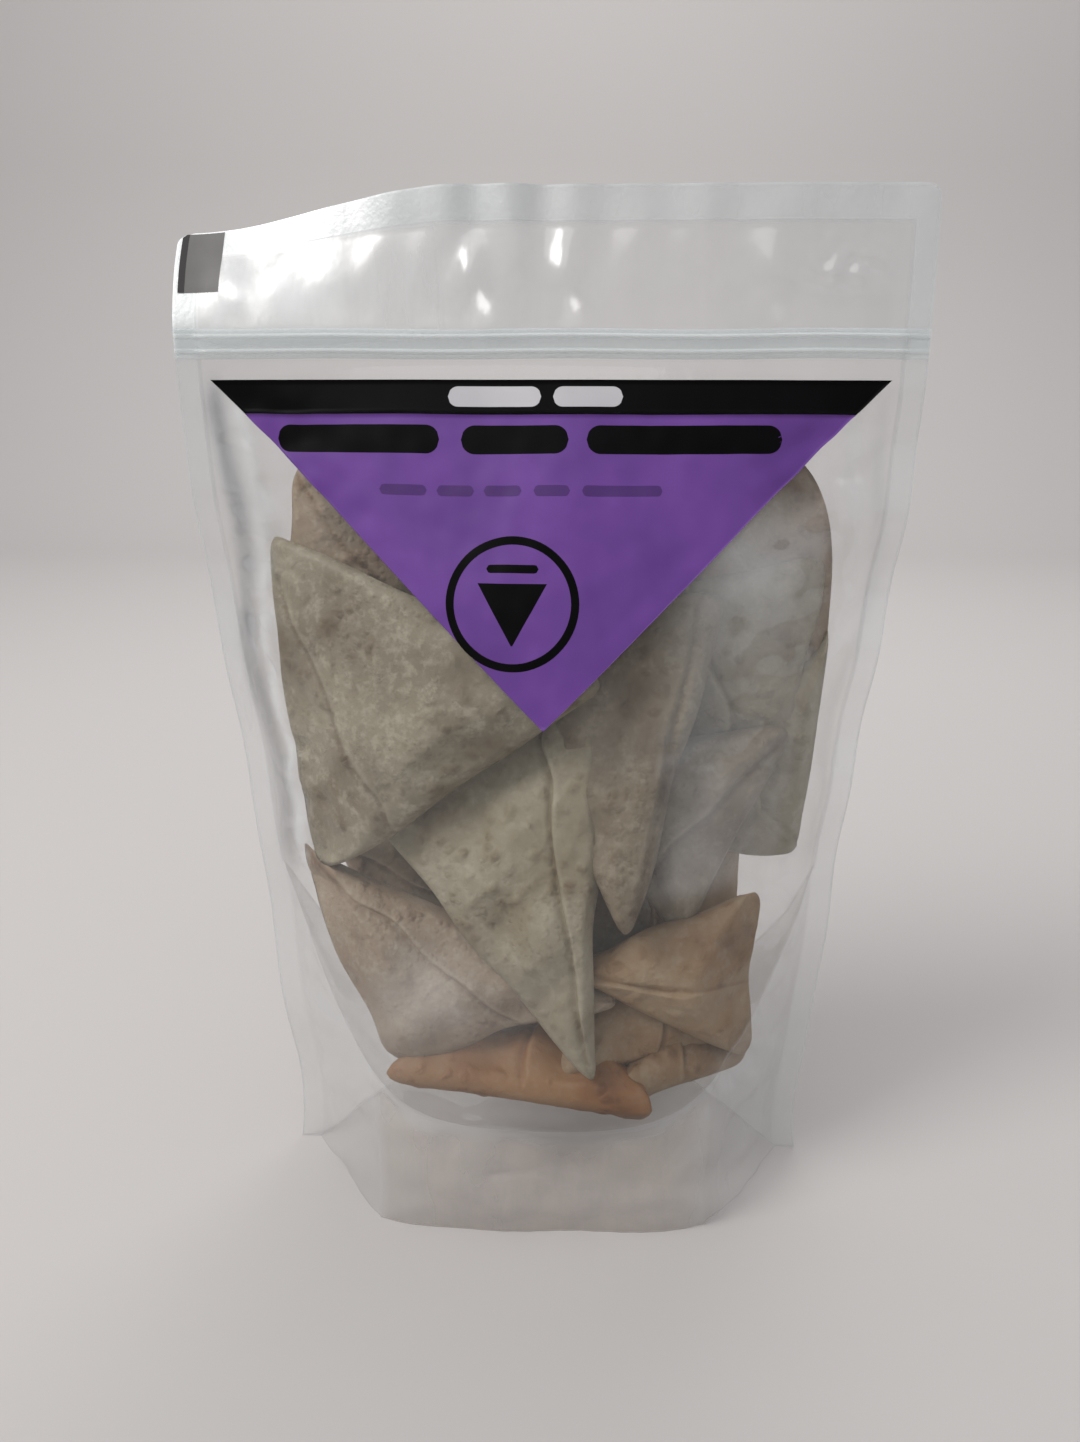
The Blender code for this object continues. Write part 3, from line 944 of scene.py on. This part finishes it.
def held_in(points):
    """Presses the parts of a samosa that would stick out of the film against its inner side."""
    x, y, z = points.T
    inner = inner_half_width(z)
    widest = inner * np.sqrt(np.clip(1.0 - PINCHED / np.maximum(bulge(z), 0.1 * MM), 0.04, 1.0))
    x = np.sign(x) * eased(np.abs(x), widest, 6 * MM)
    across = np.abs(x) / inner
    s = np.sign(x) * across * FILM_HALF
    dents = np.minimum(wrinkles(s, z, -1), wrinkles(s, z, 1))
    room = bulge(z) * panel_shape(across, z) + np.minimum(dents, 0.0) - FILM_GAP
    room = np.maximum(room, LEAST_ROOM)
    return np.stack([x, np.sign(y) * eased(np.abs(y), room, 2.2 * MM), z], axis=-1)


def samosa_materials():
    """Bakes of the same pastry: four colours of crust, pale to dark, and how floury it is; brown is a
    darker copy for painted shade.
    """
    bakes = (
        ("floury", (142, 133, 114), (122, 112, 93), (100, 85, 66), (74, 58, 43), 0.45),
        ("grey", (149, 141, 122), (135, 125, 104), (111, 96, 75), (74, 60, 45), 0.30),
        ("golden", (146, 124, 97), (134, 107, 78), (110, 82, 56), (70, 49, 34), 0.20),
        ("amber", (145, 109, 74), (134, 93, 57), (108, 71, 42), (68, 44, 28), 0.10),
        # Painted shade: a darker, browner copy for samosas lying in shadow.
        ("brown", (128, 117, 100), (114, 101, 83), (92, 76, 59), (60, 46, 35), 0.25),
        ("pale_brown", (150, 134, 115), (136, 117, 97), (113, 91, 72), (75, 56, 42), 0.35),
    )
    return [samosa_material("samosa_" + name, *(colour(*shade) for shade in shades), dust)
            for name, *shades, dust in bakes]


def make_samosas():
    """Every samosa in the pouch, the ones that show from the front first."""
    floury, grey, golden, amber, brown, pale_brown = samosa_materials()

    # Name, corners, thickness, seed, material, front flap, back flap, bend and tip layers.
    wanted = (
        ("upper_left", [(-63, -15, 94), (-77, -2, 190), (16, -26, 153)], 17, 101, floury,
         (1, 0.30, 0.8), (2, 0.5, 1.2), 2.0, 0.0),
        ("middle", [(13, -41, 43), (-48, -6, 110), (15, -11, 150)], 13, 102, grey,
         (0, 0.76, 1.6), (1, 0.4, 1.2), -3.0, 0.6),
        # The right wedge, the right corner and the core use the brown copy: painted shade.
        ("right_wedge", [(23, -32, 83), (47, -10, 175), (-20, 6, 160)], 13, 103, brown,
         (0, 0.10, 0.9), (1, 0.5, 1.0), 2.0, 0.0),
        ("right_corner", [(67, -8, 139), (38, -17, 76), (0, 0, 126)], 14, 111, brown,
         (0, 0.35, 1.0), (1, 0.5, 1.0), 1.0, 0.0),
        ("right_upper", [(72, -3, 184), (64, 2, 97), (8, 4, 168)], 14, 104, grey,
         (1, 0.55, 1.0), (0, 0.5, 1.0), 1.0, 0.0),
        ("right_side", [(80, 0, 166), (77, 2, 96), (18, 8, 98)], 14, 116, grey,
         (1, 0.55, 1.0), (0, 0.5, 1.0), 1.0, 0.0),
        ("left_rear", [(-72, 5, 112), (-69, 0, 208), (14, 10, 180)], 13, 112, pale_brown,
         (1, 0.55, 1.0), (0, 0.5, 1.0), 1.0, 0.0),
        ("right_rear", [(84, 1, 208), (80, 3, 142), (0, 8, 196)], 13, 113, pale_brown,
         (1, 0.55, 1.0), (0, 0.5, 1.0), 1.0, 0.0),
        ("lower_right", [(58, -16, 94), (59, -17, 41), (4, -26, 73)], 18, 105, golden,
         (2, 0.55, 1.2), (0, 0.4, 1.0), 2.0, 0.0),
        ("lower_left", [(-71, -6, 102), (-44, -26, 42), (24, -22, 62)], 17, 106, pale_brown,
         (0, 0.6, 1.0), (0, 0.5, 1.0), 2.0, 0.0),
        ("bottom", [(-45, -31, 43), (34, -36, 34), (0, 32, 44)], 19, 107, amber,
         (2, 0.5, 1.2), (1, 0.5, 1.0), 0.0, 0.0),
        ("bottom_right", [(61, -13, 40), (17, -34, 36), (44, 30, 50)], 17, 118, golden,
         (2, 0.5, 1.2), (1, 0.5, 1.0), 0.0, 0.0),
        ("core_low", [(60, -10, 44), (2, -28, 40), (30, 4, 84)], 14, 119, golden,
         (2, 0.5, 1.2), (1, 0.5, 1.0), 0.0, 0.0),
        ("core", [(40, -4, 56), (-42, 0, 66), (12, -2, 122)], 14, 117, brown,
         (2, 0.5, 1.2), (1, 0.5, 1.0), 0.0, 0.0),
        ("back_upper", [(-56, 17, 98), (-72, 4, 182), (8, 24, 150)], 17, 108, floury,
         (0, 0.5, 1.0), (1, 0.4, 1.2), 2.0, 0.0),
        ("back_middle", [(4, 39, 52), (50, 17, 116), (-26, 26, 130)], 16, 109, grey,
         (0, 0.5, 1.0), (0, 0.35, 1.3), 2.0, 0.0),
        ("back_right", [(56, 13, 102), (60, 6, 186), (-16, 17, 160)], 15, 114, floury,
         (0, 0.5, 1.0), (0, 0.35, 1.3), 2.0, 0.0),
        ("back_left", [(-66, 10, 98), (-42, 27, 44), (16, 34, 86)], 16, 115, pale_brown,
         (0, 0.5, 1.0), (1, 0.35, 1.2), 2.0, 0.0),
        ("back_low", [(58, 18, 44), (57, 14, 98), (4, 36, 62)], 16, 110, golden,
         (0, 0.5, 1.0), (2, 0.5, 1.2), 2.0, 0.0),
    )
    return [make_samosa("samosa_" + name, *values, FINE_STEPS if name in AT_FRONT else PLAIN_STEPS)
            for name, *values in wanted]


# -------------------- stage and camera

def make_stage():
    """A pale floor that sweeps up into a backdrop."""
    pale = plain_material("stage_pale", colour(187, 183, 181), 0.75)
    turn_at = 1.1
    radius = 0.5
    turn_steps = 16
    profile = [(-FLOOR_SIZE / 2, 0.0)]
    for i in range(turn_steps + 1):
        angle = math.pi / 2.0 * i / turn_steps
        profile.append((turn_at + radius * math.sin(angle), radius - radius * math.cos(angle)))
    profile.append((turn_at + radius, FLOOR_SIZE / 2))
    widths = np.linspace(-FLOOR_SIZE / 2, FLOOR_SIZE / 2, 9)
    rows = np.array([[(x, y, z) for x in widths] for y, z in profile])
    return sheet("stage_sweep", rows, pale)


def aim(obj, target):
    """Turns a light to shine at a place."""
    direction = np.array(target) - np.array(obj.location)
    obj.rotation_euler = (math.atan2(math.hypot(direction[0], direction[1]), -direction[2]), 0.0,
                          math.atan2(direction[1], direction[0]) - math.pi / 2.0)


def make_light(name, place, target, size, power, tint):
    light = bpy.data.lights.new(name, "AREA")
    light.shape = "DISK"
    light.size = size
    light.energy = power
    light.color = tint
    obj = bpy.data.objects.new(name, light)
    obj.location = place
    bpy.context.scene.collection.objects.link(obj)
    aim(obj, target)


def make_lighting():
    """A soft key light from the upper left, fill from above and behind, and a bright backdrop."""
    pouch = (0.0, 0.0, 0.12)
    make_light("key_light", (-0.85, -0.55, 1.15), pouch, 0.6, 11.5, (1.0, 0.98, 0.96))
    make_light("top_light", (-0.25, -0.70, 1.20), pouch, 0.9, 2.6, (1.0, 1.0, 1.0))
    make_light("back_light", (0.25, 0.85, 1.1), pouch, 0.7, 3.0, (1.0, 1.0, 1.0))
    make_light("backdrop_light", (0.0, 0.55, 1.3), (0.0, 1.55, 0.6), 0.9, 7.5, (1.0, 1.0, 1.0))
    world = bpy.data.worlds.new("studio")
    world.use_nodes = True
    background = world.node_tree.nodes["Background"]
    background.inputs["Color"].default_value = colour(238, 240, 244)
    background.inputs["Strength"].default_value = 0.60
    scene = bpy.context.scene
    scene.world = world
    scene.view_settings.view_transform = "Standard"
    scene.cycles.transparent_max_bounces = 40


def make_camera():
    """A wide view from close in front of the pouch, looking down at it."""
    camera = bpy.data.cameras.new("camera")
    camera.sensor_fit = "HORIZONTAL"
    camera.sensor_width = 36.0
    camera.lens = 40.0
    camera.clip_start = 0.01
    obj = bpy.data.objects.new("camera", camera)
    obj.location = (0.0099, -0.3159, 0.2334)
    obj.rotation_euler = (math.radians(90.0 - 17.16), 0.0, math.radians(2.15))
    bpy.context.scene.collection.objects.link(obj)
    bpy.context.scene.camera = obj


def main():
    make_camera()
    make_lighting()
    make_stage()

    film = film_material()
    track = zip_material()
    front = make_film(-1, film)
    pieces = [(front, "clear_film"), (make_film(1, film), "clear_film"), (make_gusset(film), "clear_film")]
    tracks = [make_zip(side, track) for side in (-1, 1)]
    pieces += [(piece, "zip_plastic") for piece in tracks]
    label = make_label()
    pieces += [(piece, "label_paper") for piece in label + make_eye_mark()]
    for piece, slot in pieces:
        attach(piece, "root")
    for piece in make_samosas():
        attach(piece, "root")
    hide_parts("pouch")
    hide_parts("zip_front")
    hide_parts("zip_back")
    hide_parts("label")


main()
